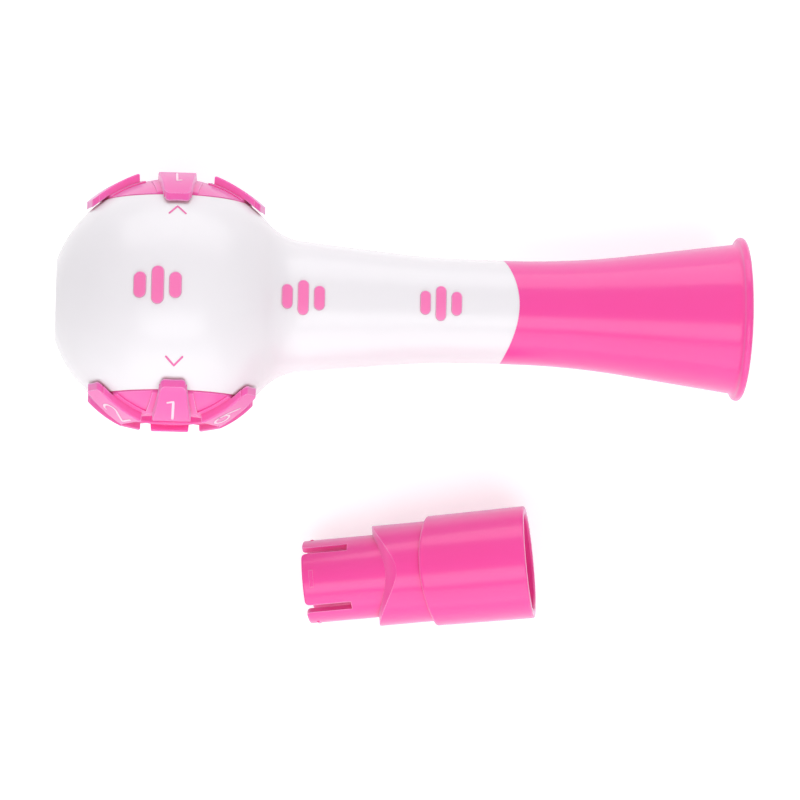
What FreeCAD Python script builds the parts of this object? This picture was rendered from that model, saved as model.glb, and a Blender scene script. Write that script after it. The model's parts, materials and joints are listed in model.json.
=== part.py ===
import FreeCAD, Part
import math
import os

# Breathing trainer, in millimetres. The trainer is modelled about its own ball centre, with +X along
# the neck to the mouthpiece, +Y along the exhale dial's axis and +Z towards the front. It is then laid
# on the table, on its ball and its lip, with the loose adapter beside it.

# Casing: ball, neck and wall
BALL_R = 29.4
BACK_FLAT_DEPTH = 1.6
WALL = 2.0
NECK_ROOT_X = 38.4
NECK_ROOT_R = 14.7
NECK_ROOT_FILLET = 13.0
NECK_WAIST_X = 60.0
NECK_WAIST_R = 12.55
NECK_WAIST_BEND = 150.0
NECK_END_X = 77.8
NECK_END_R = 12.35
SADDLE_R = 24.3
TONGUE_W = 0.8
TONGUE_H = 1.0
SEAM_GROOVE = 0.25

# Spigot and socket, shared by the mouthpiece and the adapter
SPIGOT_R = 9.9
SPIGOT_WALL = 1.6
SPIGOT_L = 16.7
SPIGOT_TIP_ROUND = 0.5
SLIT_W = 2.2
SLIT_L = 11.0
SLIT_COUNT = 4
FINGER_CORNER = 1.2
BEAD_R = 0.6
BEAD_RISE = 0.2
BEAD_X = 2.2
BEAD_HALF_DEG = 12.0
SOCKET_PLAY = 0.08
STOP_RING_L = 2.0
NECK_SEAL_T = 1.0

# Mouthpiece horn
HORN_BEND_X = 80.2
HORN_BEND_R = 200.0
HORN_SLOPE_DEG = 8.0
HORN_WALL = 1.7
LIP_X = 134.9
LIP_RISE = 1.5
LIP_ROUND = 0.95
LIP_FILLET = 1.2

# Adapter
ADAPTER_L = 53.7
BAND_R = 12.0
SHOULDER_RISE = 8.6
SHOULDER_HALF_H = 12.5
CUFF_X = 30.0
CUFF_R = 13.1
CUFF_MOUTH_R = 13.43
CUFF_SADDLE_R = 48.0
CUFF_EDGE = 0.7
CUFF_BORE_R = 11.5
CUFF_BORE_L = 22.0
CUFF_RIM_ROUND = 0.5
ADAPTER_PLACE_X = 32.65
ADAPTER_PLACE_Y = -64.2
ADAPTER_YAW_DEG = 5.8

# Dials: the dome, its rim skirt and the open well in its middle
DIAL_SEAT_R = 18.4
DIAL_GAP = 0.25
DOME_RISE = 0.1
DIAL_WALL = 1.8
SKIRT_H = 2.05
SKIRT_T = 1.95
WELL_R = 8.8
WELL_WALL = 1.4
WELL_EDGE = 0.5
FLOOR_T = 1.6
PORT_PITCH_R = 5.4
PORT_MAX_R = 2.2
PORT_MIN_R = 0.9
INHALE_STEPS = 6
EXHALE_STEPS = 5

# Fins: heights are measured above the dome, and the pad is the low step round a fin's foot
FIN_SETBACK = 1.9
FIN_OVERHANG = 3.35
FIN_INNER_RISE = 2.16
FIN_TIP_RISE = 2.55
FIN_TIP_T = 1.75
FIN_CROWN = 0.6
FIN_INNER_WIDTH = 8.9
FIN_TIP_WIDTH = 5.9
FIN_DRAFT = 0.06
FIN_CORNER = 1.2
FIN_EDGE = 0.4
PAD_RISE = 0.35
PAD_MARGIN = 1.0
NOTCH_R = 1.1

# Port plates, posts and seals
PLATE_T = 1.6
DIAL_TO_PLATE = 1.4
SEAT_STEP = 1.4
COLLAR_T = 1.0
PLATE_LEDGE = 1.2
FIT = 0.05
POST_R = 2.2
PILOT_R = 0.8
PORT_SEAL_W = 1.2
PORT_SEAL_SINK = 0.4
SEAL_GAP = 0.1
WASHER_T = 0.4
WASHER_R = 3.1
SCREW_HEAD_R = 2.6
SCREW_HEAD_T = 1.6
SCREW_R = 1.1
SCREW_L = 4.5
SPRING_NOSE_R = 0.7
SPRING_T = 0.5
SPRING_H = 1.8
SPRING_HALF_DEG = 28.0
SPRING_FOOT_R = 0.8
SPRING_FOOT_SINK = 0.9

# One-way flaps
FLAP_R = 4.0
FLAP_T = 0.8
FLAP_HINGE_X = -0.2
FLAP_BEAD_R = 0.6
FLAP_BEAD_HALF = 2.6
FLAP_GAP = 0.1
RETAINER_HALF_L = 3.9
RETAINER_HALF_W = 0.8
RETAINER_T = 0.8
RETAINER_PEG_R = 0.5
RETAINER_PEG_Y = 3.3
PEG_SINK = 1.0
CUP_X = 3.8
CUP_R = 6.4
CUP_WALL = 1.2
CUP_DEPTH = 5.5

# Grip bars: centre, width, spacing, middle length, outer length
BAR_GROUPS = {
    "ball_bars": (-4.3, 2.8, 4.1, 8.8, 6.0),
    "upper_neck_bars": (30.0, 2.5, 3.8, 8.2, 5.7),
    "lower_neck_bars": (62.6, 2.4, 3.7, 8.2, 5.6),
}
BAR_PROUD = 0.25
BAR_DEPTH = 1.2


def above_dome(radius, rise):
    """Distance out along the dial axis of a point at a radius, a rise above the dome."""
    return math.sqrt((BALL_R + DOME_RISE) ** 2 - radius**2) + rise


# Sizes that follow from those above, with places along a dial axis measured from the ball centre
FAR = 200.0
BACK_FLAT_X = BACK_FLAT_DEPTH - BALL_R
DIAL_R = DIAL_SEAT_R - DIAL_GAP
DOME_R = BALL_R + DOME_RISE
DIAL_BASE_W = above_dome(DIAL_R, -SKIRT_H)
FLOOR_TOP_W = DIAL_BASE_W + FLOOR_T
SKIRT_R = DIAL_R - SKIRT_T
SPRING_R = SKIRT_R - 2 * (SPRING_NOSE_R + SEAL_GAP)
PLATE_TOP_W = DIAL_BASE_W - DIAL_TO_PLATE
PLATE_BASE_W = PLATE_TOP_W - PLATE_T
COLLAR_R = DIAL_SEAT_R - SEAT_STEP
PLATE_R = COLLAR_R + PLATE_LEDGE
COLLAR_TOP_W = PLATE_TOP_W + PLATE_LEDGE
COLLAR_BASE_W = PLATE_BASE_W - COLLAR_T
POST_TOP_W = FLOOR_TOP_W + SEAL_GAP
FIN_INNER_R = WELL_R + FIN_SETBACK
FIN_TIP_R = DIAL_R + FIN_OVERHANG
FIN_INNER_W = above_dome(FIN_INNER_R, FIN_INNER_RISE)
FIN_TIP_W = above_dome(FIN_TIP_R, FIN_TIP_RISE)
FIN_UNDER_R = math.hypot(FIN_TIP_R, FIN_TIP_W - FIN_TIP_T)
PAD_INNER_R = FIN_INNER_R - PAD_MARGIN
HORN_SLOPE = math.radians(HORN_SLOPE_DEG)
HORN_FLARE_X = HORN_BEND_X + HORN_BEND_R * math.sin(HORN_SLOPE)
HORN_FLARE_R = NECK_END_R + HORN_BEND_R * (1 - math.cos(HORN_SLOPE))
HORN_END_R = HORN_FLARE_R + (LIP_X - HORN_FLARE_X) * math.tan(HORN_SLOPE)
LIP_R = HORN_END_R + LIP_RISE - LIP_ROUND
BAND_TO_SADDLE = SADDLE_R - math.sqrt(SADDLE_R**2 - NECK_END_R**2)
SPIGOT_TIP_X = NECK_END_X - SPIGOT_L
SOCKET_R = SPIGOT_R + SOCKET_PLAY
SEAL_TOP_X = SPIGOT_TIP_X - 2 * SOCKET_PLAY
STOP_X = SEAL_TOP_X - NECK_SEAL_T
SPIGOT_BORE_R = SPIGOT_R - SPIGOT_WALL
CUP_SEAT_W = PLATE_BASE_W - CUP_DEPTH

X = FreeCAD.Vector(1, 0, 0)
Y = FreeCAD.Vector(0, 1, 0)
Z = FreeCAD.Vector(0, 0, 1)
ORIGIN = FreeCAD.Vector(0, 0, 0)


def vec(x, y, z=0.0):
    return FreeCAD.Vector(x, y, z)


def line(a, b):
    return Part.LineSegment(a, b).toShape()


def arc(a, mid, b):
    return Part.Arc(a, mid, b).toShape()


def arc_about(centre, a, b):
    """Arc from a to b about a centre, the short way round."""
    middle = (a - centre) + (b - centre)
    return arc(a, centre + middle.normalize() * (a - centre).Length, b)


def polygon(points):
    return Part.makePolygon(points + [points[0]])


def face(edges):
    return Part.Face(Part.Wire(Part.__sortEdges__(edges)))


def cylinder(radius, length, base, axis):
    return Part.makeCylinder(radius, length, base, axis)


def box(x0, x1, y0, y1, z0, z1):
    return Part.makeBox(x1 - x0, y1 - y0, z1 - z0, vec(x0, y0, z0))


def wedge(half_deg, inner, outer, x0, x1, turn_deg):
    """Sector about the X axis, half_deg to each side of the angle turn_deg."""
    half = math.radians(half_deg)
    start = vec(x0, inner * math.cos(half), -inner * math.sin(half))
    sector = Part.Face(
        polygon(
            [
                start,
                vec(x0, outer * math.cos(half), -outer * math.sin(half)),
                vec(x0, outer / math.cos(half), 0),
                vec(x0, outer * math.cos(half), outer * math.sin(half)),
                vec(x0, inner * math.cos(half), inner * math.sin(half)),
            ]
        )
    ).extrude(X * (x1 - x0))
    sector.rotate(ORIGIN, X, turn_deg)
    return sector


def cut(shape, *tools):
    return shape.cut(list(tools))


def join(shape, *others):
    return shape.fuse(list(others)).removeSplitter()


def common(a, b):
    return a.common(b)


def edges_where(shape, test):
    return [e for e in shape.Edges if test(e)]


def radius_of(edge):
    """Distance of an edge's middle from the X axis."""
    span = edge.ParameterRange
    middle = edge.valueAt((span[0] + span[1]) / 2)
    return math.hypot(middle.y, middle.z)


# Casing outline, as edges in the plane of X and radius, set in from the outer surface


def neck_corner(inset):
    """Corner between the neck's taper and its nearly straight end, with both directions."""
    root = vec(NECK_ROOT_X, NECK_ROOT_R)
    waist = vec(NECK_WAIST_X, NECK_WAIST_R)
    end = vec(NECK_END_X, NECK_END_R)
    taper = (waist - root).normalize()
    run = (end - waist).normalize()
    taper_out = vec(-taper.y, taper.x)
    run_out = vec(-run.y, run.x)
    bisector = (taper_out + run_out).normalize()
    corner = waist - bisector * (inset / bisector.dot(run_out))
    return corner, taper, taper_out, run, run_out


def casing_edges(inset, end_x):
    """Ball, concave neck root, taper, slight bend and straight end, up to end_x."""
    ball = BALL_R - inset
    back_x = BACK_FLAT_X + inset
    corner, taper, taper_out, run, run_out = neck_corner(inset)
    fillet = NECK_ROOT_FILLET + inset
    raised = corner + taper_out * fillet
    along = raised.dot(taper)
    reach = math.sqrt(along**2 - raised.Length**2 + (ball + fillet) ** 2)
    centre = raised + taper * (reach - along)
    on_ball = centre * (ball / (ball + fillet))
    on_neck = centre - taper_out * fillet
    back = vec(back_x, math.sqrt(ball**2 - back_x**2))
    bend = NECK_WAIST_BEND + inset
    half_turn = taper.getAngle(run) / 2
    tangent = bend * math.tan(half_turn)
    before = corner - taper * tangent
    after = corner + run * tangent
    top = vec(0, ball)
    last = corner + run * ((end_x - corner.x) / run.x)
    return [
        line(vec(back_x, 0), back),
        arc_about(ORIGIN, back, top),
        arc_about(ORIGIN, top, on_ball),
        arc_about(centre, on_ball, on_neck),
        line(on_neck, before),
        arc_about(before + taper_out * bend, before, after),
        line(after, last),
        line(last, vec(end_x, 0)),
        line(vec(end_x, 0), vec(back_x, 0)),
    ]


def casing_body(inset, end_x):
    return face(casing_edges(inset, end_x)).revolve(ORIGIN, X, 360)


def turned(points, axis=X):
    """Solid of revolution from (place along the axis, radius) points."""
    if axis is X:
        ring = [vec(x, r) for x, r in points]
    else:
        ring = [vec(r, 0, w) for w, r in points]
    return Part.Face(polygon(ring)).revolve(ORIGIN, axis, 360)


def tube(outer, inner, x0, x1, axis=X):
    return turned([(x0, inner), (x0, outer), (x1, outer), (x1, inner)], axis)


def saddle_tool(edge_x, radius):
    """Cylinder across the neck that cuts its end to a saddle, nearest at the sides."""
    return cylinder(radius, FAR, vec(edge_x + radius, -FAR / 2, 0), Y)


# Places of the dial frames: w runs out along the dial axis and the index side faces the front


def dial_place(side):
    return FreeCAD.Placement(
        FreeCAD.Matrix(0, side, 0, 0, 0, 0, side, 0, 1, 0, 0, 0, 0, 0, 0, 1)
    )


def on_dial(shape, side):
    placed = shape.copy()
    placed.Placement = dial_place(side).multiply(placed.Placement)
    return placed


# Spigot with spring fingers, running from its tip at X = 0 towards +X


def finger_bead(rise_r, bead_r, turn_deg, half_deg):
    ring_r = SPIGOT_R + rise_r - bead_r
    ring = Part.makeTorus(ring_r, bead_r, vec(BEAD_X, 0, 0), X)
    span = wedge(half_deg, ring_r - 3 * bead_r, ring_r + 3 * bead_r, -1, 2 * BEAD_X + 1, turn_deg)
    return common(ring, span)


def finger_turns():
    return [360.0 / SLIT_COUNT * k for k in range(SLIT_COUNT)]


def slit_tool():
    """Slit between two fingers, flared at the tip so that it rounds the fingers' corners."""
    half = SLIT_W / 2
    wide = half + FINGER_CORNER
    edges = []
    for s in (-1, 1):
        centre = vec(FINGER_CORNER, 0, s * wide)
        tip = vec(0, 0, s * wide)
        flank = vec(FINGER_CORNER, 0, s * half)
        edges.append(line(vec(-1, 0, s * wide), tip))
        edges.append(arc_about(centre, tip, flank))
        edges.append(line(flank, vec(SLIT_L, 0, s * half)))
    edges.append(line(vec(SLIT_L, 0, -half), vec(SLIT_L, 0, half)))
    edges.append(line(vec(-1, 0, -wide), vec(-1, 0, wide)))
    return face(edges).extrude(Y * (2 * SPIGOT_R))


def spigot(length):
    barrel = tube(SPIGOT_R, SPIGOT_BORE_R, 0, length)
    rim = edges_where(barrel, lambda e: abs(e.CenterOfMass.x) < 1e-6 and len(e.Vertexes) == 1)
    barrel = barrel.makeFillet(SPIGOT_TIP_ROUND, rim)
    barrel = barrel.fuse([finger_bead(BEAD_RISE, BEAD_R, t, BEAD_HALF_DEG) for t in finger_turns()])
    slit = slit_tool()
    slits = []
    for turn in finger_turns():
        one = slit.copy()
        one.rotate(ORIGIN, X, turn + 180.0 / SLIT_COUNT)
        slits.append(one)
    return cut(barrel, *slits)


def socket_tool():
    """Bore with a lead-in channel and a snap groove for each finger bead."""
    bore = cylinder(SOCKET_R, FAR, vec(-2 * SOCKET_PLAY - NECK_SEAL_T, 0, 0), X)
    channel_r = SPIGOT_R + BEAD_RISE + SOCKET_PLAY
    for turn in finger_turns():
        channel = common(
            cylinder(channel_r, FAR, ORIGIN, X),
            wedge(BEAD_HALF_DEG + 2, SOCKET_R - 1, channel_r + 1, 0, FAR, turn),
        )
        groove = finger_bead(BEAD_RISE + SOCKET_PLAY, BEAD_R + 2 * SOCKET_PLAY, turn, BEAD_HALF_DEG + 2)
        bore = bore.fuse([channel, groove])
    bore.translate(X * SPIGOT_TIP_X)
    return bore


# Casing shells


def seat_collar():
    """Ledge inside the ball that carries a port plate in a groove."""
    skin = Part.makeSphere(BALL_R - WALL / 2)
    collar = common(skin, cylinder(BALL_R, BALL_R, vec(0, 0, COLLAR_BASE_W), Z))
    return cut(collar, cylinder(COLLAR_R, BALL_R, vec(0, 0, COLLAR_BASE_W - 1), Z))


def seat_tool():
    """Throat for the dial, the air way through the collar and the plate's groove."""
    throat = cylinder(DIAL_SEAT_R, BALL_R, vec(0, 0, COLLAR_TOP_W), Z)
    way = cylinder(COLLAR_R, BALL_R, vec(0, 0, COLLAR_BASE_W - 1), Z)
    groove = cylinder(PLATE_R + FIT, PLATE_T + 2 * FIT, vec(0, 0, PLATE_BASE_W - FIT), Z)
    return throat.fuse([way, groove])


def bar_prism(centre_x, width, length):
    """Upright bar with round ends, lying across the casing."""
    half = (length - width) / 2
    r = width / 2
    block = box(centre_x - r, centre_x + r, -half, half, 0, FAR)
    ends = [cylinder(r, FAR, vec(centre_x, s * half, 0), Z) for s in (-1, 1)]
    return block.fuse(ends).removeSplitter()


def bar_prisms(group, play):
    centre, width, pitch, long, short = BAR_GROUPS[group]
    sizes = [(-1, short), (0, long), (1, short)]
    return [bar_prism(centre + k * pitch, width + play, length + play) for k, length in sizes]


def bar_group(group):
    band = cut(casing_body(-BAR_PROUD, NECK_END_X), casing_body(BAR_DEPTH, NECK_END_X - BAR_DEPTH))
    bars = [common(band, prism) for prism in bar_prisms(group, 0)]
    return Part.Compound([solid for bar in bars for solid in bar.Solids])


def bar_pockets():
    floor = casing_body(BAR_DEPTH + FIT, NECK_END_X)
    prisms = [p for group in BAR_GROUPS for p in bar_prisms(group, 2 * FIT)]
    return [cut(prism, floor) for prism in prisms]


def seam_tongue(width, height):
    """Strip in the middle of the wall along the seam, left out at the dials and the socket."""
    inset = (WALL - width) / 2
    strip = cut(casing_body(inset, STOP_X), casing_body(inset + width, FAR))
    slab = box(BACK_FLAT_X - 1, STOP_X - STOP_RING_L - WALL, -BALL_R, BALL_R, -FIT, height)
    strip = common(strip, slab)
    clear = DIAL_SEAT_R + WALL
    return cut(strip, cylinder(clear, FAR, vec(0, -FAR / 2, 0), Y))


def seam_groove():
    """Fine step that runs round the outside just behind the seam."""
    slab = box(-FAR, FAR, -FAR, FAR, -SEAM_GROOVE, 0)
    return cut(slab, casing_body(SEAM_GROOVE, FAR))


def casing():
    end = NECK_END_X + BAND_TO_SADDLE + 1
    whole = casing_body(0, end)
    hollow = casing_body(WALL, STOP_X - STOP_RING_L)
    stop_way = cylinder(SPIGOT_BORE_R, FAR, ORIGIN, X)
    whole = cut(whole, hollow, stop_way, socket_tool(), saddle_tool(NECK_END_X, SADDLE_R))
    for side in (1, -1):
        whole = whole.fuse(on_dial(seat_collar(), side))
        whole = whole.cut(on_dial(seat_tool(), side))
    return whole.removeSplitter()


def shells():
    whole = casing()
    front_half = box(-FAR, FAR, -FAR, FAR, 0, FAR)
    rear_half = box(-FAR, FAR, -FAR, FAR, -FAR, 0)
    front = cut(common(whole, front_half), seam_tongue(TONGUE_W + 2 * FIT, TONGUE_H + FIT), *bar_pockets())
    rear = cut(common(whole, rear_half), seam_groove())
    rear = rear.fuse(seam_tongue(TONGUE_W, TONGUE_H)).removeSplitter()
    return front, rear


# Parts that the two valves share, in the dial frame with its axis along Z


def port_plate():
    """Plate with one air window, a hub post, a seal seat and holes for spring and retainer."""
    plate = cylinder(PLATE_R, PLATE_T, vec(0, 0, PLATE_BASE_W), Z)
    post = cylinder(POST_R, POST_TOP_W - PLATE_TOP_W + FIT, vec(0, 0, PLATE_TOP_W - FIT), Z)
    plate = join(plate, post)
    pilot = cylinder(PILOT_R, FAR, vec(0, 0, PLATE_BASE_W + FIT), Z)
    tap = cylinder(SCREW_R, SCREW_L + SEAL_GAP, vec(0, 0, POST_TOP_W - SCREW_L + WASHER_T), Z)
    window = cylinder(PORT_MAX_R, FAR, vec(PORT_PITCH_R, 0, 0), Z)
    seat_at = vec(PORT_PITCH_R, 0, PLATE_TOP_W - PORT_SEAL_SINK)
    seat = cylinder(PORT_MAX_R + PORT_SEAL_W + FIT, FAR, seat_at, Z)
    seat = cut(seat, cylinder(POST_R, FAR, ORIGIN, Z))
    feet = [
        cylinder(SPRING_FOOT_R + FIT, FAR, vec(x, y, PLATE_TOP_W - SPRING_FOOT_SINK), Z)
        for x, y in spring_feet()
    ]
    return cut(plate, pilot, tap, window, seat, *feet)


def peg_holes(sink):
    """Holes for the retainer's pegs, below a seat plane at Z = 0 with the flap under it."""
    r = RETAINER_PEG_R + FIT
    return [cylinder(r, sink, vec(FLAP_HINGE_X, s * RETAINER_PEG_Y, 0), Z) for s in (-1, 1)]


def port_seal():
    base = PLATE_TOP_W - PORT_SEAL_SINK
    height = DIAL_BASE_W - SEAL_GAP - base
    outer = cylinder(PORT_MAX_R + PORT_SEAL_W, height, vec(PORT_PITCH_R, 0, base), Z)
    inner = cylinder(PORT_MAX_R, FAR, vec(PORT_PITCH_R, 0, 0), Z)
    return cut(outer, inner, cylinder(POST_R + FIT, FAR, ORIGIN, Z))


def spring_feet():
    r = SPRING_R + SPRING_T / 2
    half = math.radians(SPRING_HALF_DEG)
    return [(r * math.cos(half), s * r * math.sin(half)) for s in (-1, 1)]


def click_spring():
    """Bowed leaf on two feet, with a round nose that faces the dial's notches."""
    outer = SPRING_R + SPRING_T
    base = PLATE_TOP_W + SEAL_GAP
    leaf = tube(outer, SPRING_R, base, base + SPRING_H, Z)
    half = math.radians(SPRING_HALF_DEG)
    far = 2 * outer
    sector = Part.Face(
        polygon([vec(0, 0), vec(far, -far * math.tan(half)), vec(far, far * math.tan(half))])
    ).extrude(Z * FAR)
    leaf = common(leaf, sector)
    nose = cylinder(SPRING_NOSE_R, SPRING_H, vec(SPRING_R + SPRING_NOSE_R, 0, base), Z)
    foot_w = PLATE_TOP_W - SPRING_FOOT_SINK
    foot_h = SPRING_FOOT_SINK + SEAL_GAP + SPRING_H
    feet = [cylinder(SPRING_FOOT_R, foot_h, vec(x, y, foot_w), Z) for x, y in spring_feet()]
    return join(leaf, nose, *feet)


def dial_washer():
    return tube(WASHER_R, SCREW_R + FIT, POST_TOP_W, POST_TOP_W + WASHER_T, Z)


def dial_screw():
    """Pan head with a cross recess, and a shank down into the post."""
    under_head = POST_TOP_W + WASHER_T
    head = cylinder(SCREW_HEAD_R, SCREW_HEAD_T, vec(0, 0, under_head), Z)
    half_way = under_head + SCREW_HEAD_T / 2
    top = edges_where(head, lambda e: len(e.Vertexes) == 1 and e.CenterOfMass.z > half_way)
    head = head.makeFillet(SCREW_HEAD_T / 2, top)
    shank = cylinder(SCREW_R, SCREW_L, vec(0, 0, under_head - SCREW_L), Z)
    cross = SCREW_HEAD_R * 0.65
    slot = SCREW_HEAD_R * 0.13
    recess = box(-cross, cross, -slot, slot, half_way, FAR)
    recess = recess.fuse(box(-slot, slot, -cross, cross, half_way, FAR))
    return cut(join(head, shank), recess)


# Dial with its fins, holes and notches


def dial_turning():
    """Dome, rim skirt, open well and floor as one turned section."""
    inner = DOME_R - DIAL_WALL
    well_out = WELL_R + WELL_WALL
    under_in = vec(well_out, 0, math.sqrt(inner**2 - well_out**2))
    under_out = vec(SKIRT_R, 0, math.sqrt(inner**2 - SKIRT_R**2))
    rim = vec(DIAL_R, 0, math.sqrt(DOME_R**2 - DIAL_R**2))
    mouth = vec(WELL_R, 0, math.sqrt(DOME_R**2 - WELL_R**2))
    bore = POST_R + FIT
    section = face(
        [
            line(vec(bore, 0, DIAL_BASE_W), vec(well_out, 0, DIAL_BASE_W)),
            line(vec(well_out, 0, DIAL_BASE_W), under_in),
            arc_about(ORIGIN, under_in, under_out),
            line(under_out, vec(SKIRT_R, 0, DIAL_BASE_W)),
            line(vec(SKIRT_R, 0, DIAL_BASE_W), vec(DIAL_R, 0, DIAL_BASE_W)),
            line(vec(DIAL_R, 0, DIAL_BASE_W), rim),
            arc_about(ORIGIN, rim, mouth),
            line(mouth, vec(WELL_R, 0, FLOOR_TOP_W)),
            line(vec(WELL_R, 0, FLOOR_TOP_W), vec(bore, 0, FLOOR_TOP_W)),
            line(vec(bore, 0, FLOOR_TOP_W), vec(bore, 0, DIAL_BASE_W)),
        ]
    )
    body = section.revolve(ORIGIN, Z, 360)
    edge = edges_where(body, lambda e: (e.CenterOfMass - Z * mouth.z).Length < 1e-6 and len(e.Vertexes) == 1)
    return body.makeFillet(WELL_EDGE, edge)


def fin_half_width(r, w):
    """Half of a fin's width: narrower outwards, wider downwards."""
    fall = FIN_DRAFT * (FIN_INNER_W - FIN_TIP_W)
    per_r = (FIN_TIP_WIDTH / 2 - FIN_INNER_WIDTH / 2 - fall) / (FIN_TIP_R - FIN_INNER_R)
    return FIN_INNER_WIDTH / 2 + per_r * (r - FIN_INNER_R) + FIN_DRAFT * (FIN_INNER_W - w)


def fin_quad(near, far, w, margin=0.0):
    """Outline of a fin at one height, from one radius to another."""
    a = fin_half_width(near, w) + margin
    b = fin_half_width(far, w) + margin
    return polygon([vec(near, -a, w), vec(far, -b, w), vec(far, b, w), vec(near, a, w)])


def fin_pad():
    """Low step on the dome round a fin's foot."""
    foot = Part.Face(fin_quad(PAD_INNER_R, FIN_TIP_R, DIAL_BASE_W, PAD_MARGIN)).extrude(Z * FAR)
    skin = Part.makeSphere(DOME_R + PAD_RISE).cut(Part.makeSphere(DOME_R - DIAL_WALL / 2))
    return common(common(skin, foot), cylinder(DIAL_R, FAR, ORIGIN, Z))


def fin():
    """One grip fin: arched top, steep sides, and a tip that hangs over the casing with a gap."""
    top_in = vec(FIN_INNER_R, 0, FIN_INNER_W)
    top_out = vec(FIN_TIP_R, 0, FIN_TIP_W)
    crown = (top_in + top_out) * 0.5
    crown = crown + vec(crown.x, 0, crown.z).normalize() * FIN_CROWN
    sunk = DOME_R - DIAL_WALL / 2
    rim_r = DIAL_R - FIT
    rim_low = vec(rim_r, 0, math.sqrt(sunk**2 - rim_r**2))
    tip_low = vec(FIN_TIP_R, 0, rim_low.z - FIN_TIP_R + rim_r)
    root = vec(FIN_INNER_R, 0, math.sqrt(sunk**2 - FIN_INNER_R**2))
    side = face(
        [
            arc(top_in, crown, top_out),
            line(top_out, tip_low),
            line(tip_low, rim_low),
            arc_about(ORIGIN, rim_low, root),
            line(root, top_in),
        ]
    )
    width = FIN_INNER_WIDTH
    side.translate(Y * -width)
    blank = side.extrude(Y * (2 * width))
    heights = (rim_low.z - DIAL_WALL - FIN_OVERHANG, FIN_INNER_W + 1)
    limits = Part.makeLoft([fin_quad(FIN_INNER_R - 1, FIN_TIP_R + 1, w) for w in heights], True, True)
    body = common(blank, limits)
    hang = Part.makeSphere(FIN_UNDER_R).cut(cylinder(DIAL_R, FAR, ORIGIN, Z))
    body = cut(body, hang, *[tip_corner(s) for s in (-1, 1)])
    crest = edges_where(body, fin_crest)
    return body.makeFillet(FIN_EDGE, crest)


def tip_corner(side):
    """What rounding takes off one corner of a fin's tip, seen along the dial axis."""
    edge_y = fin_half_width(FIN_TIP_R, FIN_TIP_W - FIN_EDGE)
    centre = vec(FIN_TIP_R - FIN_CORNER, side * (edge_y - FIN_CORNER), 0)
    corner = Part.makeBox(2 * FIN_CORNER, 2 * FIN_CORNER, FAR, centre + vec(0, min(side, 0) * 2 * FIN_CORNER))
    return cut(corner, cylinder(FIN_CORNER, FAR, centre, Z))


def fin_crest(edge):
    """True for the edges that bound a fin's arched top, short of its rounded tip."""
    span = edge.ParameterRange
    middle = edge.valueAt((span[0] + span[1]) / 2)
    slope = (FIN_INNER_W - FIN_TIP_W) / (FIN_TIP_R - FIN_INNER_R)
    chord_w = FIN_INNER_W - slope * (middle.x - FIN_INNER_R)
    return middle.z > chord_w - 0.15 and middle.x < FIN_TIP_R - 2 * FIN_CORNER


def step_angles(steps):
    return [360.0 * k / steps for k in range(steps)]


def dial(steps):
    body = dial_turning()
    one = fin().fuse(fin_pad())
    fins = []
    cuts = []
    for k, turn in enumerate(step_angles(steps)):
        blade = one.copy()
        blade.rotate(ORIGIN, Z, turn)
        fins.append(blade)
        a = math.radians(turn)
        radius = PORT_MAX_R - (PORT_MAX_R - PORT_MIN_R) * k / (steps - 1)
        place = vec(PORT_PITCH_R * math.cos(a), PORT_PITCH_R * math.sin(a), 0)
        cuts.append(cylinder(radius, FLOOR_TOP_W + 1, place, Z))
        notch = vec(SKIRT_R * math.cos(a), SKIRT_R * math.sin(a), DIAL_BASE_W - 1)
        cuts.append(cylinder(NOTCH_R, 1 + SPRING_H, notch, Z))
    body = body.fuse(fins)
    return cut(body, *cuts).removeSplitter()


# Flap and retainer, under a seat plane at Z = 0


def flap():
    """Round flap with a tongue to a hinge bead."""
    under = -FLAP_GAP - FLAP_T
    disc = cylinder(FLAP_R, FLAP_T, vec(PORT_PITCH_R, 0, under), Z)
    tongue = box(FLAP_HINGE_X, PORT_PITCH_R, -FLAP_BEAD_HALF, FLAP_BEAD_HALF, under, under + FLAP_T)
    bead_z = -FLAP_GAP - FLAP_BEAD_R
    bead = cylinder(FLAP_BEAD_R, 2 * FLAP_BEAD_HALF, vec(FLAP_HINGE_X, -FLAP_BEAD_HALF, bead_z), Y)
    return join(disc, tongue, bead)


def flap_retainer():
    """Bar under the hinge bead, with two pegs into the seat."""
    top = -2 * FLAP_GAP - 2 * FLAP_BEAD_R
    bar = box(
        FLAP_HINGE_X - RETAINER_HALF_W,
        FLAP_HINGE_X + RETAINER_HALF_W,
        -RETAINER_HALF_L,
        RETAINER_HALF_L,
        top - RETAINER_T,
        top,
    )
    reach = PEG_SINK - FIT - top
    pegs = [cylinder(RETAINER_PEG_R, reach, vec(FLAP_HINGE_X, s * RETAINER_PEG_Y, top), Z) for s in (-1, 1)]
    return join(bar, *pegs)


def under_seat(shape, seat_w, outward):
    """Puts a flap part at a seat: on its inner side, or turned over to its outer side."""
    placed = shape.copy()
    if outward:
        placed.rotate(ORIGIN, X, 180)
    placed.translate(Z * seat_w)
    return placed


def inhale_plate():
    holes = [under_seat(h, PLATE_BASE_W, False) for h in peg_holes(PEG_SINK)]
    return cut(port_plate(), *holes)


def exhale_plate():
    return cut(port_plate(), *[cylinder(CUP_R + CUP_WALL + FIT, FIT, vec(CUP_X, 0, PLATE_BASE_W), Z)])


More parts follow.
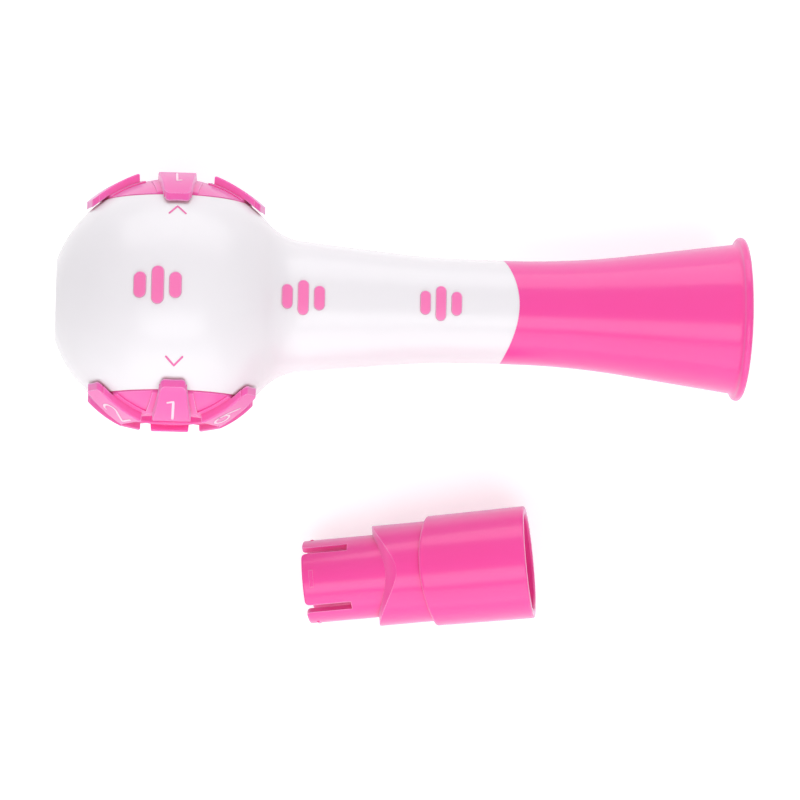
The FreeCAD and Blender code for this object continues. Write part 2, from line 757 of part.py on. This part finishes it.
def exhale_cup():
    """Cup below the exhale plate, with the seat that its flap lifts from."""
    top = PLATE_BASE_W + FIT
    base = CUP_SEAT_W - PLATE_T
    cup = cylinder(CUP_R + CUP_WALL, top - base, vec(CUP_X, 0, base), Z)
    hollow = cylinder(CUP_R, FAR, vec(CUP_X, 0, CUP_SEAT_W), Z)
    window = cylinder(PORT_MAX_R, FAR, vec(PORT_PITCH_R, 0, 0), Z)
    holes = [under_seat(h, CUP_SEAT_W, True) for h in peg_holes(PEG_SINK)]
    return cut(cup, hollow, window, *holes)


# Mouthpiece


def horn_outline(offset, x1):
    """Points of the horn's flare at an offset inside its outer surface, up to x1."""
    bend = HORN_BEND_R + offset
    centre = vec(HORN_BEND_X, NECK_END_R + HORN_BEND_R)
    first = vec(HORN_BEND_X, NECK_END_R - offset)
    half = vec(centre.x + bend * math.sin(HORN_SLOPE / 2), centre.y - bend * math.cos(HORN_SLOPE / 2))
    after = vec(centre.x + bend * math.sin(HORN_SLOPE), centre.y - bend * math.cos(HORN_SLOPE))
    last = vec(x1, after.y + (x1 - after.x) * math.tan(HORN_SLOPE))
    return first, half, after, last


def lip_fillet():
    """Centre and ends of the hollow round that runs from the horn's flare into its lip."""
    along = vec(math.cos(HORN_SLOPE), math.sin(HORN_SLOPE))
    out = vec(-along.y, along.x)
    end = vec(LIP_X, HORN_END_R)
    lip = vec(LIP_X, LIP_R)
    reach = LIP_FILLET + LIP_ROUND
    back = (lip - end).dot(along) - math.sqrt(reach**2 - (LIP_FILLET - (lip - end).dot(out)) ** 2)
    centre = end + along * back + out * LIP_FILLET
    return centre, end + along * back, lip + (centre - lip) * (LIP_ROUND / reach)


def mouthpiece():
    """Flared horn with a rolled lip, and the slit spigot behind its saddle end."""
    root = vec(NECK_END_X, NECK_END_R)
    face_x = LIP_X + LIP_ROUND
    first, half, after, _ = horn_outline(0, LIP_X)
    i_first, i_half, i_after, i_last = horn_outline(HORN_WALL, face_x - LIP_ROUND / 2)
    hollow, on_flare, on_lip = lip_fillet()
    lip_top = vec(LIP_X, LIP_R + LIP_ROUND)
    lip_front = vec(face_x, LIP_R)
    lip_in = vec(face_x, i_last.y + LIP_ROUND / 2)
    step = vec(NECK_END_X, SPIGOT_BORE_R)
    throat = vec(HORN_BEND_X - HORN_WALL, SPIGOT_BORE_R)
    section = face(
        [
            line(root, first),
            arc(first, half, after),
            line(after, on_flare),
            arc_about(hollow, on_flare, on_lip),
            arc_about(vec(LIP_X, LIP_R), on_lip, lip_top),
            arc_about(vec(LIP_X, LIP_R), lip_top, lip_front),
            line(lip_front, lip_in),
            arc_about(vec(i_last.x, lip_in.y), lip_in, i_last),
            line(i_last, i_after),
            arc(i_after, i_half, i_first),
            line(i_first, throat),
            line(throat, step),
            line(step, root),
        ]
    )
    horn = section.revolve(ORIGIN, X, 360)
    blunt = common(
        horn,
        saddle_tool(NECK_END_X, SADDLE_R).fuse(box(NECK_END_X + SADDLE_R, FAR, -FAR, FAR, -FAR, FAR)),
    )
    tail = spigot(SPIGOT_L + BAND_TO_SADDLE + 1)
    tail.translate(X * SPIGOT_TIP_X)
    return join(blunt, tail)


# Adapter, from its spigot tip at X = 0


def shoulder_tool():
    """Flat ellipse across the tube that shapes the shoulder, deepest at front and back."""
    centre = vec(SPIGOT_L + SHOULDER_RISE, -FAR / 2, 0)
    curve = Part.Ellipse(
        centre + Z * SHOULDER_HALF_H,
        centre + X * SHOULDER_RISE,
        centre,
    )
    oval = Part.Face(Part.Wire([curve.toShape()])).extrude(Y * FAR)
    rest = box(SPIGOT_L + SHOULDER_RISE, FAR, -FAR, FAR, -FAR, FAR)
    return oval.fuse(rest)


def adapter():
    """Slit spigot, waisted band with an elliptical shoulder, and a cuff with a wide bore."""
    band = common(cylinder(BAND_R, CUFF_X + 1 - SPIGOT_L, X * SPIGOT_L, X), shoulder_tool())
    cuff = turned([(CUFF_X - 3, 0), (CUFF_X - 3, CUFF_R), (ADAPTER_L, CUFF_MOUTH_R), (ADAPTER_L, 0)])
    scoop = cylinder(CUFF_SADDLE_R, FAR, vec(CUFF_X - CUFF_SADDLE_R, -FAR / 2, 0), Y)
    cuff = cut(cuff, scoop)
    brim = edges_where(cuff, lambda e: radius_of(e) > BAND_R and e.CenterOfMass.x < CUFF_X + 1)
    cuff = cuff.makeFillet(CUFF_EDGE, brim)
    barrel = join(band, cuff, spigot(SPIGOT_L + SHOULDER_RISE))
    way = cylinder(SPIGOT_BORE_R, FAR, ORIGIN, X)
    bore = cylinder(CUFF_BORE_R, FAR, vec(ADAPTER_L - CUFF_BORE_L, 0, 0), X)
    barrel = cut(barrel, way, bore).removeSplitter()
    rims = edges_where(barrel, lambda e: abs(e.CenterOfMass.x - ADAPTER_L) < 1e-6 and len(e.Vertexes) == 1)
    return barrel.makeFillet(CUFF_RIM_ROUND, rims)


# Laying the two objects on the table


def trainer_tilt():
    """Angle at which ball and lip both touch the table."""
    reach = math.hypot(LIP_X, LIP_R)
    return math.asin((BALL_R - LIP_ROUND) / reach) - math.atan2(LIP_R, LIP_X)


def trainer_place():
    turn = FreeCAD.Rotation(Y, math.degrees(trainer_tilt()))
    return FreeCAD.Placement(Z * BALL_R, turn)


def adapter_tilt():
    """Angle at which a finger bead and the cuff's rounded near edge both touch the table."""
    brim_r = CUFF_R - CUFF_EDGE
    brim_x = CUFF_X - CUFF_SADDLE_R + math.sqrt((CUFF_SADDLE_R + CUFF_EDGE) ** 2 - brim_r**2)
    run = brim_x - BEAD_X
    drop = brim_r - (SPIGOT_R + BEAD_RISE - BEAD_R)
    return math.atan2(drop, run) + math.asin((CUFF_EDGE - BEAD_R) / math.hypot(run, drop))


def adapter_place():
    tilt = adapter_tilt()
    bead_centre = SPIGOT_R + BEAD_RISE - BEAD_R
    height = BEAD_R + bead_centre * math.cos(tilt) - BEAD_X * math.sin(tilt)
    turn = FreeCAD.Rotation(Z, ADAPTER_YAW_DEG).multiply(FreeCAD.Rotation(Y, -math.degrees(tilt)))
    return FreeCAD.Placement(vec(ADAPTER_PLACE_X, ADAPTER_PLACE_Y, height), turn)


def trainer_parts():
    front, rear = shells()
    parts = {"front_shell": front, "rear_shell": rear, "mouthpiece": mouthpiece()}
    parts["neck_seal"] = tube(SPIGOT_R - SOCKET_PLAY, SPIGOT_BORE_R, STOP_X, SEAL_TOP_X)
    for group in BAR_GROUPS:
        parts[group] = bar_group(group)
    valves = {
        "inhale": (-1, INHALE_STEPS, inhale_plate(), PLATE_BASE_W, False),
        "exhale": (1, EXHALE_STEPS, exhale_plate(), CUP_SEAT_W, True),
    }
    for name, (side, steps, plate, seat_w, outward) in valves.items():
        pieces = {
            "dial": dial(steps),
            "port_plate": plate,
            "port_seal": port_seal(),
            "click_spring": click_spring(),
            "dial_washer": dial_washer(),
            "dial_screw": dial_screw(),
            "flap": under_seat(flap(), seat_w, outward),
            "flap_retainer": under_seat(flap_retainer(), seat_w, outward),
        }
        for piece, shape in pieces.items():
            parts[name + "_" + piece] = on_dial(shape, side)
    parts["exhale_valve_cup"] = on_dial(exhale_cup(), 1)
    return parts


def placed(shape, place):
    moved = shape.copy()
    moved.Placement = place.multiply(moved.Placement)
    return moved


def laid_out():
    """Every piece on the table, with the origin under the middle of them all."""
    parts = {name: placed(shape, trainer_place()) for name, shape in trainer_parts().items()}
    parts["adapter"] = placed(adapter(), adapter_place())
    bounds = FreeCAD.BoundBox()
    for shape in parts.values():
        bounds.add(shape.optimalBoundingBox(False, False))
    shift = vec(-bounds.Center.x, -bounds.Center.y, -bounds.ZMin)
    for shape in parts.values():
        shape.translate(shift)
    return parts, shift


PARTS, SHIFT = laid_out()
os.makedirs("parts", exist_ok=True)
for part_name, part_shape in PARTS.items():
    part_shape.exportStep("parts/" + part_name + ".step")
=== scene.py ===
import json
import math

import bpy
from mathutils import Matrix, Vector
from mathutils.bvhtree import BVHTree


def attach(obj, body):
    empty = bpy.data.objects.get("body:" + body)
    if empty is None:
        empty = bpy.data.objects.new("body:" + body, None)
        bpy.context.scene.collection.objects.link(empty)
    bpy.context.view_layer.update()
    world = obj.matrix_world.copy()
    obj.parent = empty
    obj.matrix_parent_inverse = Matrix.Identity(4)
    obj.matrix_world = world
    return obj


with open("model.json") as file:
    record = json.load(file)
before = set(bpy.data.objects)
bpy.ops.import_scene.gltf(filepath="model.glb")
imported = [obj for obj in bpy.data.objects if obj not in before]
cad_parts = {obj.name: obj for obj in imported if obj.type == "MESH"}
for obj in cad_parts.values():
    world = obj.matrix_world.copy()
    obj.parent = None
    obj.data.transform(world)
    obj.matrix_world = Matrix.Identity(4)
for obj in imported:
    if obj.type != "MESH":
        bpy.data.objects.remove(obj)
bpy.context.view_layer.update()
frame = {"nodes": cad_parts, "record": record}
nodes = frame["nodes"]
record = frame["record"]
joints = {joint["name"]: joint for joint in record["behaviour"]["joints"]}

# Sizes are in metres, and MM turns millimetres into them
MM = 0.001

# The trainer's own axes, from its joints: along the neck, out of the exhale dial, and to the front
ALONG = Vector(joints["mouthpiece_pull"]["axis"]).normalized()
EXHALE = Vector(joints["exhale_dial_turn"]["axis"]).normalized()
FRONT = ALONG.cross(EXHALE).normalized()

# Middle of the ball, half way between the two dials
INHALE_HUB = Vector(joints["inhale_dial_turn"]["pos_m"])
EXHALE_HUB = Vector(joints["exhale_dial_turn"]["pos_m"])
BALL = (INHALE_HUB + EXHALE_HUB) / 2


# Materials

# Levels between which nearly all of a noise lies
GRAIN_LEVELS = (0.3, 0.7)

# Noises of moulded plastic, in waves to the metre: flow in its colour, uneven polish and orange peel
FLOW_SCALE = 35.0
FLOW_DETAIL = 3.0
POLISH_SCALE = 60.0
POLISH_DETAIL = 4.0
GLOSS_PEEL = 700.0
PEEL_DETAIL = 2.0

# What else all moulded plastic shares: the peel's depth, how far light goes in, and its faint bloom
PEEL_DEPTH = 0.2 * MM
PLASTIC_IOR = 1.49
SOFT_DEPTH = 1.5 * MM
BLOOM_ROUGHNESS = 0.5
BLOOM_TINT = (0.8, 0.75, 1.0, 1.0)

# Painted highlight on edges and painted shade in creases: how far each reaches, and how finely it is
# sampled
EDGE_REACH = 0.4 * MM
EDGE_SAMPLES = 6
CREASE_REACH = 1.6 * MM
CREASE_SAMPLES = 8

# Levels at which the painted highlight and the painted shade start and are full, and their share of the
# colour there
EDGE_TURN = (0.995, 0.9)
EDGE_HIGHLIGHT_SHARE = 0.6
OUTSIDE_OPENNESS = (0.8, 0.97)
CREASE_OPENNESS = (0.85, 0.4)
CREASE_SHADE_SHARE = 0.8

# Turned steel
STEEL_GRAIN = 2500.0
STEEL_DETAIL = 3.0
STEEL_ROUGHNESS = (0.22, 0.42)
STEEL_RELIEF = 0.08
STEEL_DEPTH = 0.1 * MM


def linear(level):
    """One channel of a display colour, 0 to 255, as linear light."""
    share = level / 255.0
    if share <= 0.04045:
        return share / 12.92
    return ((share + 0.055) / 1.055) ** 2.4


def hue(red, green, blue):
    """Display colour, 0 to 255, as linear light."""
    return tuple(linear(level) for level in (red, green, blue))


def new_material(name):
    """Empty material, with its node tree and its shader."""
    material = bpy.data.materials.new(name)
    material.use_nodes = True
    tree = material.node_tree
    return material, tree, tree.nodes["Principled BSDF"]


def add(tree, kind, **values):
    """New node, with values for its inputs or else for its settings."""
    node = tree.nodes.new(kind)
    for key, value in values.items():
        if key in node.inputs:
            node.inputs[key].default_value = value
        else:
            setattr(node, key, value)
    return node


def noise(tree, scale, detail):
    """Noise that is fixed to the piece."""
    place = add(tree, "ShaderNodeTexCoord")
    grain = add(tree, "ShaderNodeTexNoise", Scale=scale, Detail=detail)
    tree.links.new(place.outputs["Object"], grain.inputs["Vector"])
    return grain.outputs["Fac"]


def mapped(tree, value, source, target):
    """A value, stretched from one range to another and held inside it."""
    node = add(tree, "ShaderNodeMapRange")
    for name, end in zip(("From Min", "From Max", "To Min", "To Max"), (*source, *target)):
        node.inputs[name].default_value = end
    tree.links.new(value, node.inputs["Value"])
    return node.outputs["Result"]


def combined(tree, kind, operation, first, second):
    """One value, worked out from two."""
    node = add(tree, kind, operation=operation)
    tree.links.new(first, node.inputs[0])
    tree.links.new(second, node.inputs[1])
    return node.outputs["Value"]


def blended(tree, first, second, factor):
    """Mix of two colours by a factor: each is a constant or the output of an earlier mix."""
    mix = add(tree, "ShaderNodeMix", data_type="RGBA")
    sockets = [socket for socket in mix.inputs if socket.type == "RGBA"]
    for socket, value in zip(sockets, (first, second)):
        if isinstance(value, tuple):
            socket.default_value = (*value, 1.0)
        else:
            tree.links.new(value, socket)
    tree.links.new(factor, mix.inputs["Factor"])
    return next(socket for socket in mix.outputs if socket.type == "RGBA")


def roughen(tree, shader, grain, strength, depth):
    """Fine relief from a noise."""
    bump = add(tree, "ShaderNodeBump", Strength=strength, Distance=depth)
    tree.links.new(grain, bump.inputs["Height"])
    tree.links.new(bump.outputs["Normal"], shader.inputs["Normal"])


def painted_highlight_and_shade(tree, colour, edge_highlight_colour, crease_shade_colour):
    """Colour with a painted highlight where two faces meet in an edge, and painted shade where they meet
    in a crease.
    """
    rounded = add(tree, "ShaderNodeBevel", Radius=EDGE_REACH, samples=EDGE_SAMPLES)
    plain = add(tree, "ShaderNodeNewGeometry")
    normals = (rounded.outputs["Normal"], plain.outputs["Normal"])
    turn = combined(tree, "ShaderNodeVectorMath", "DOT_PRODUCT", *normals)
    shade = add(tree, "ShaderNodeAmbientOcclusion", Distance=CREASE_REACH, samples=CREASE_SAMPLES)
    openness = shade.outputs["AO"]
    # Painted highlight where the rounded normal turns away from the face, on edges in the open
    edge = mapped(tree, turn, EDGE_TURN, (0.0, EDGE_HIGHLIGHT_SHARE))
    outside = mapped(tree, openness, OUTSIDE_OPENNESS, (0.0, 1.0))
    # Painted shade where little of the surround is open, in creases
    crease = mapped(tree, openness, CREASE_OPENNESS, (0.0, CREASE_SHADE_SHARE))
    outer_edge = combined(tree, "ShaderNodeMath", "MULTIPLY", edge, outside)
    return blended(tree, blended(tree, colour, edge_highlight_colour, outer_edge), crease_shade_colour, crease)


def moulded(
    name, colour, shade, roughness, peel, peel_scale,
    soft=0.0, soft_radius=(1.0, 1.0, 1.0), bloom=0.0, painted_edge_tones=None,
):
    """Injection-moulded plastic: soft lets light in, bloom is a pale sheen, and the edge tones are painted
    highlight and shade.
    """
    material, tree, shader = new_material(name)
    flow = mapped(tree, noise(tree, FLOW_SCALE, FLOW_DETAIL), GRAIN_LEVELS, (0.0, 1.0))
    surface_colour = blended(tree, colour, shade, flow)
    # Painted highlight on the edges and painted shade in the creases go into the colour
    if painted_edge_tones:
        surface_colour = painted_highlight_and_shade(tree, surface_colour, *painted_edge_tones)
    tree.links.new(surface_colour, shader.inputs["Base Color"])
    polish = mapped(tree, noise(tree, POLISH_SCALE, POLISH_DETAIL), GRAIN_LEVELS, roughness)
    tree.links.new(polish, shader.inputs["Roughness"])
    roughen(tree, shader, noise(tree, peel_scale, PEEL_DETAIL), peel, PEEL_DEPTH)
    shader.inputs["IOR"].default_value = PLASTIC_IOR
    shader.inputs["Subsurface Weight"].default_value = soft
    shader.inputs["Subsurface Radius"].default_value = soft_radius
    shader.inputs["Subsurface Scale"].default_value = SOFT_DEPTH
    shader.inputs["Sheen Weight"].default_value = bloom
    shader.inputs["Sheen Roughness"].default_value = BLOOM_ROUGHNESS
    shader.inputs["Sheen Tint"].default_value = BLOOM_TINT
    return material


def brushed(name, colour):
    """Turned stainless steel with a fine grain of wear."""
    material, tree, shader = new_material(name)
    shader.inputs["Base Color"].default_value = (*colour, 1.0)
    shader.inputs["Metallic"].default_value = 1.0
    grain = noise(tree, STEEL_GRAIN, STEEL_DETAIL)
    tree.links.new(mapped(tree, grain, GRAIN_LEVELS, STEEL_ROUGHNESS), shader.inputs["Roughness"])
    roughen(tree, shader, grain, STEEL_RELIEF, STEEL_DEPTH)
    return material


# Colour of the painted highlight on edges and of the painted shade in creases, for each kind of pink piece
PINK_HIGHLIGHT_AND_SHADE = (hue(255, 172, 226), hue(226, 34, 110))
DIAL_HIGHLIGHT_AND_SHADE = (hue(255, 192, 234), hue(232, 44, 126))
BAR_HIGHLIGHT_AND_SHADE = (hue(255, 190, 224), hue(232, 76, 146))

WHITE = moulded(
    "white_gloss", hue(245, 241, 246), hue(243, 239, 244), roughness=(0.23, 0.26),
    peel=0.015, peel_scale=GLOSS_PEEL, soft=0.15, soft_radius=(1.0, 0.95, 0.95),
)
PINK = moulded(
    "pink_gloss", hue(255, 68, 166), hue(253, 65, 163), roughness=(0.18, 0.23),
    peel=0.02, peel_scale=GLOSS_PEEL, soft=0.2, soft_radius=(1.0, 0.5, 0.8), bloom=0.6, painted_edge_tones=PINK_HIGHLIGHT_AND_SHADE,
)
DIAL_PINK = moulded(
    "dial_pink", hue(255, 98, 184), hue(253, 95, 181), roughness=(0.18, 0.23),
    peel=0.02, peel_scale=GLOSS_PEEL, soft=0.3, soft_radius=(1.0, 0.5, 0.8), bloom=0.6, painted_edge_tones=DIAL_HIGHLIGHT_AND_SHADE,
)
BAR_PINK = moulded(
    "bar_pink", hue(255, 126, 190), hue(252, 120, 184), roughness=(0.3, 0.4),
    peel=0.03, peel_scale=900.0, soft=0.1, soft_radius=(1.0, 0.5, 0.7), painted_edge_tones=BAR_HIGHLIGHT_AND_SHADE,
)
VALVE = moulded(
    "valve_plastic", hue(226, 226, 230), hue(220, 220, 224), roughness=(0.42, 0.55),
    peel=0.05, peel_scale=1500.0, soft=0.1,
)
SILICONE = moulded(
    "silicone", hue(222, 222, 226), hue(214, 214, 220), roughness=(0.5, 0.62),
    peel=0.04, peel_scale=1800.0, soft=0.4,
)
STEEL = brushed("steel", hue(196, 197, 200))
DIGIT = moulded(
    "digit_ink", hue(255, 222, 240), hue(255, 216, 236), roughness=(0.35, 0.45),
    peel=0.02, peel_scale=2000.0,
)
MARK = moulded(
    "mark_ink", hue(238, 110, 176), hue(236, 104, 172), roughness=(0.35, 0.45),
    peel=0.02, peel_scale=2000.0,
)

FINISHES = {
    "white_plastic": WHITE,
    "pink_plastic": PINK,
    "bar_plastic": BAR_PINK,
    "valve_plastic": VALVE,
    "silicone": SILICONE,
    "steel": STEEL,
}

# The dials share the horn's slot, but their pink is a little lighter and more violet
DIALS = ("inhale_dial", "exhale_dial")

for part in record["subparts"]:
    finish = DIAL_PINK if part["node"] in DIALS else FINISHES[part["material_slot"]]
    for slot in nodes[part["node"]].material_slots:
        slot.material = finish


# Marks printed on curved surfaces

# The ink's height over the surface
INK_LIFT = 0.04 * MM

# The ink is laid along straight lines, which start this far outside its place and are this long
INK_START = 20 * MM
INK_SEARCH = 60 * MM

# Points along a stroke are this many stroke widths apart, and its round ends have this many sides
INK_STEP = 0.6
CAP_SIDES = 12


def surface_of(node):
    """Search tree over a node's mesh, where the node is at rest."""
    source = nodes[node]
    points = [source.matrix_world @ vertex.co for vertex in source.data.vertices]
    return BVHTree.FromPolygons(points, [face.vertices for face in source.data.polygons])


def sampled(points, step):
    """The points of a stroke, with more between them, no further apart than step."""
    dense = [points[0]]
    for start, end in zip(points, points[1:]):
        count = max(1, math.ceil(math.dist(start, end) / step))
        for k in range(1, count + 1):
            t = k / count
            dense.append((start[0] + (end[0] - start[0]) * t, start[1] + (end[1] - start[1]) * t))
    return dense


def bow(cx, cy, rx, ry, start_deg, end_deg, count=18):
    """Part of an ellipse as stroke points."""
    angles = [math.radians(start_deg + (end_deg - start_deg) * k / count) for k in range(count + 1)]
    return [(cx + rx * math.cos(angle), cy + ry * math.sin(angle)) for angle in angles]


def printed(name, strokes, width, place, node, body, material):
    """Flat ink strokes on a node's surface: place is the print's middle, its right and its up."""
    centre, right, up = place
    out = right.cross(up).normalized()
    surface = surface_of(node)
    verts = []
    faces = []

    def land(x, y):
        start = centre + right * x + up * y + out * INK_START
        hit, normal, _, _ = surface.ray_cast(start, -out, INK_SEARCH)
        verts.append(hit + normal * INK_LIFT)

    for stroke in strokes:
        dense = sampled(stroke, width * INK_STEP)
        base = len(verts)
        for k, (x, y) in enumerate(dense):
            before = dense[max(k - 1, 0)]
            after = dense[min(k + 1, len(dense) - 1)]
            run = math.dist(before, after)
            across_x = (before[1] - after[1]) / run
            across_y = (after[0] - before[0]) / run
            for side in (-width / 2, 0.0, width / 2):
                land(x + across_x * side, y + across_y * side)
        for k in range(len(dense) - 1):
            row = base + 3 * k
            faces += [(row, row + 1, row + 4, row + 3), (row + 1, row + 2, row + 5, row + 4)]
        for x, y in (dense[0], dense[-1]):
            middle = len(verts)
            land(x, y)
            for k in range(CAP_SIDES):
                angle = 2 * math.pi * k / CAP_SIDES
                land(x + math.cos(angle) * width / 2, y + math.sin(angle) * width / 2)
            rim = middle + 1
            faces += [(middle, rim + k, rim + (k + 1) % CAP_SIDES) for k in range(CAP_SIDES)]

    mesh = bpy.data.meshes.new(name)
    mesh.from_pydata(verts, [], faces)
    mesh.materials.append(material)
    for face in mesh.polygons:
        face.use_smooth = True
    piece = bpy.data.objects.new(name, mesh)
    bpy.context.scene.collection.objects.link(piece)
    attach(piece, body)


# Numerals in a box one unit high, centred, as single strokes
NUMERALS = {
    1: [[(-0.17, 0.44), (0.03, 0.5), (0.03, -0.5)]],
    2: [bow(0.0, 0.24, 0.25, 0.26, 165, -35) + [(-0.26, -0.5), (0.27, -0.5)]],
    3: [bow(-0.02, 0.26, 0.22, 0.24, 150, -80), bow(-0.03, -0.23, 0.27, 0.27, 85, -150)],
    4: [[(0.12, -0.5), (0.12, 0.5), (-0.28, -0.2), (0.28, -0.2)]],
    5: [[(0.22, 0.5), (-0.17, 0.5), (-0.21, 0.06)] + bow(-0.02, -0.17, 0.27, 0.33, 130, -140)],
    6: [
        [(0.14, 0.5)]
        + bow(0.18, -0.17, 0.42, 0.5, 130, 175, 8)
        + bow(0.0, -0.22, 0.25, 0.28, 180, -180, 26),
    ],
}

# The numerals' place on each dial: distance from its axis, height over its hub, and lean of the fins
NUMERAL_RADIUS = {"inhale": 14.9 * MM, "exhale": 14.2 * MM}
NUMERAL_RISE = 6 * MM
NUMERAL_LEAN = math.radians(30)
NUMERAL_HEIGHT = {"inhale": 6.6 * MM, "exhale": 5.0 * MM}
NUMERAL_STROKE = {"inhale": 0.6 * MM, "exhale": 0.5 * MM}

# Index chevrons on the casing
CHEVRON_HALF = 1.9 * MM
CHEVRON_DEPTH = 1.9 * MM
CHEVRON_STROKE = 0.45 * MM

# Where each chevron is laid from: distance from the ball's middle towards its dial, and to the front
CHEVRON_REACH = {"inhale": 17.0 * MM, "exhale": 18.6 * MM}
CHEVRON_RISE = 20 * MM


def number_dial(side, count):
    """One numeral on each fin of a dial, its head towards the fin's tip."""
    joint = joints[side + "_dial_turn"]
    axis = Vector(joint["axis"]).normalized()
    across = axis.cross(FRONT).normalized()
    hub = Vector(joint["pos_m"])
    dial = side + "_dial"
    tall = NUMERAL_HEIGHT[side]
    for k in range(count):
        turn = 2 * math.pi * k / count
        radial = FRONT * math.cos(turn) + across * math.sin(turn)
        up = (radial * math.cos(NUMERAL_LEAN) - axis * math.sin(NUMERAL_LEAN)).normalized()
        out = (axis * math.cos(NUMERAL_LEAN) + radial * math.sin(NUMERAL_LEAN)).normalized()
        place = (hub + radial * NUMERAL_RADIUS[side] + axis * NUMERAL_RISE, up.cross(out), up)
        strokes = [[(x * tall, y * tall) for x, y in stroke] for stroke in NUMERALS[k + 1]]
        name = f"{side}_numeral_{k + 1}"
        printed(name, strokes, NUMERAL_STROKE[side], place, dial, dial + "_body", DIGIT)


def point_at_dial(side, direction):
    """Chevron on the front of the casing that points at a dial."""
    low = -CHEVRON_DEPTH / 2
    chevron = [(-CHEVRON_HALF, low), (0.0, -low), (CHEVRON_HALF, low)]
    centre = BALL + direction * CHEVRON_REACH[side] + FRONT * CHEVRON_RISE
    place = (centre, direction.cross(FRONT), direction)
    printed(side + "_index_mark", [chevron], CHEVRON_STROKE, place, "front_shell", "casing", MARK)


number_dial("inhale", 6)
number_dial("exhale", 5)
point_at_dial("inhale", -EXHALE)
point_at_dial("exhale", EXHALE)


# Camera: above the front, leaning a little towards the inhale dial

ELEVATION = math.radians(83.0)
ROLL = math.radians(1.06)
SENSOR = 36.0
NEAREST = 0.05
FURTHEST = 20.0

# The photograph's frame: its side in pixels, what a pixel covers at the ball, and the camera's distance
FRAME_PIXELS = 800
PIXEL = 0.237 * MM
DISTANCE = 4220 * PIXEL

# Where the ball's middle is in the frame, in pixels from its left and its top
BALL_AT = (173.5, 303.0)


def add_camera():
    """Camera where the photograph was taken from, aimed so that the ball is in its place."""
    back = Vector((0, -math.cos(ELEVATION), math.sin(ELEVATION)))
    level_right = Vector((1, 0, 0))
    level_up = Vector((0, math.sin(ELEVATION), math.cos(ELEVATION)))
    right = level_right * math.cos(ROLL) + level_up * math.sin(ROLL)
    up = level_up * math.cos(ROLL) - level_right * math.sin(ROLL)
    middle = FRAME_PIXELS / 2
    target = BALL - right * ((BALL_AT[0] - middle) * PIXEL) - up * ((middle - BALL_AT[1]) * PIXEL)
    lens = bpy.data.cameras.new("camera")
    lens.sensor_width = SENSOR
    lens.lens = SENSOR * DISTANCE / (FRAME_PIXELS * PIXEL)
    lens.clip_start = NEAREST
    lens.clip_end = FURTHEST
    camera = bpy.data.objects.new("camera", lens)
    turn = Matrix((right, up, back)).transposed().to_4x4()
    camera.matrix_world = Matrix.Translation(target + back * DISTANCE) @ turn
    bpy.context.scene.collection.objects.link(camera)
    bpy.context.scene.camera = camera


add_camera()


# Floor, world and lamps

FLOOR_SIZE = 1.6
FLOOR_DROP = 0.2 * MM
FLOOR_SHADE = (0.82, 0.82, 0.82, 1.0)
FLOOR_ROUGHNESS = 0.8
FLOOR_GLOSS = 0.1
WORLD_LEVEL = 0.44
PURE_WHITE = (1.0, 1.0, 1.0, 1.0)

# These rays see the surround as pure white and the floor as lifted by its glow, and other light doesn't
WHITE_RAYS = ("Is Camera Ray", "Is Glossy Ray", "Is Transmission Ray")
FLOOR_GLOW = 0.5

# The lamps' distance from the middle of the table, and the point that they face
LAMP_DISTANCE = 1.0
LAMP_TARGET = Vector((0, 0, 20 * MM))


def white_for_rays(tree, seen, otherwise):
    """Strength that has one value for the rays that see white and another for the rest."""
    path = add(tree, "ShaderNodeLightPath")
    share = path.outputs[WHITE_RAYS[0]]
    for ray in WHITE_RAYS[1:]:
        share = combined(tree, "ShaderNodeMath", "MAXIMUM", share, path.outputs[ray])
    return mapped(tree, share, (0.0, 1.0), (otherwise, seen))


def add_floor():
    """White floor just under the object, which keeps its shadow."""
    bpy.ops.mesh.primitive_plane_add(size=FLOOR_SIZE, location=(0, 0, -FLOOR_DROP))
    floor = bpy.context.object
    floor.name = "floor"
    material, tree, shader = new_material("floor_white")
    shader.inputs["Base Color"].default_value = FLOOR_SHADE
    shader.inputs["Roughness"].default_value = FLOOR_ROUGHNESS
    shader.inputs["Specular IOR Level"].default_value = FLOOR_GLOSS
    shader.inputs["Emission Color"].default_value = PURE_WHITE
    tree.links.new(white_for_rays(tree, FLOOR_GLOW, 0.0), shader.inputs["Emission Strength"])
    floor.data.materials.append(material)


def add_world():
    """Even white surround."""
    world = bpy.data.worlds.new("studio")
    world.use_nodes = True
    bpy.context.scene.world = world
    sky = world.node_tree.nodes["Background"]
    sky.inputs["Color"].default_value = PURE_WHITE
    world.node_tree.links.new(white_for_rays(world.node_tree, 1.0, WORLD_LEVEL), sky.inputs["Strength"])


def softbox(name, side, elevation_deg, size, radiance):
    """Rectangular lamp over the near side (-1) or the far side (1), with its length along the neck."""
    light = bpy.data.lights.new(name, "AREA")
    light.shape = "RECTANGLE"
    light.size = size[0]
    light.size_y = size[1]
    light.energy = radiance * math.pi * size[0] * size[1]
    lamp = bpy.data.objects.new(name, light)
    angle = math.radians(elevation_deg)
    lamp.location = Vector((0, side * math.cos(angle), math.sin(angle))) * LAMP_DISTANCE
    aim = LAMP_TARGET - lamp.location
    lamp.rotation_euler = aim.to_track_quat("-Z", "Y").to_euler()
    bpy.context.scene.collection.objects.link(lamp)


add_floor()
add_world()
softbox("near_softbox", side=-1, elevation_deg=63, size=(1.1, 0.45), radiance=2.3)
softbox("near_low_softbox", side=-1, elevation_deg=22, size=(1.6, 0.7), radiance=1.35)
softbox("far_low_softbox", side=1, elevation_deg=22, size=(1.6, 0.7), radiance=1.7)

bpy.context.scene.view_settings.view_transform = "Standard"
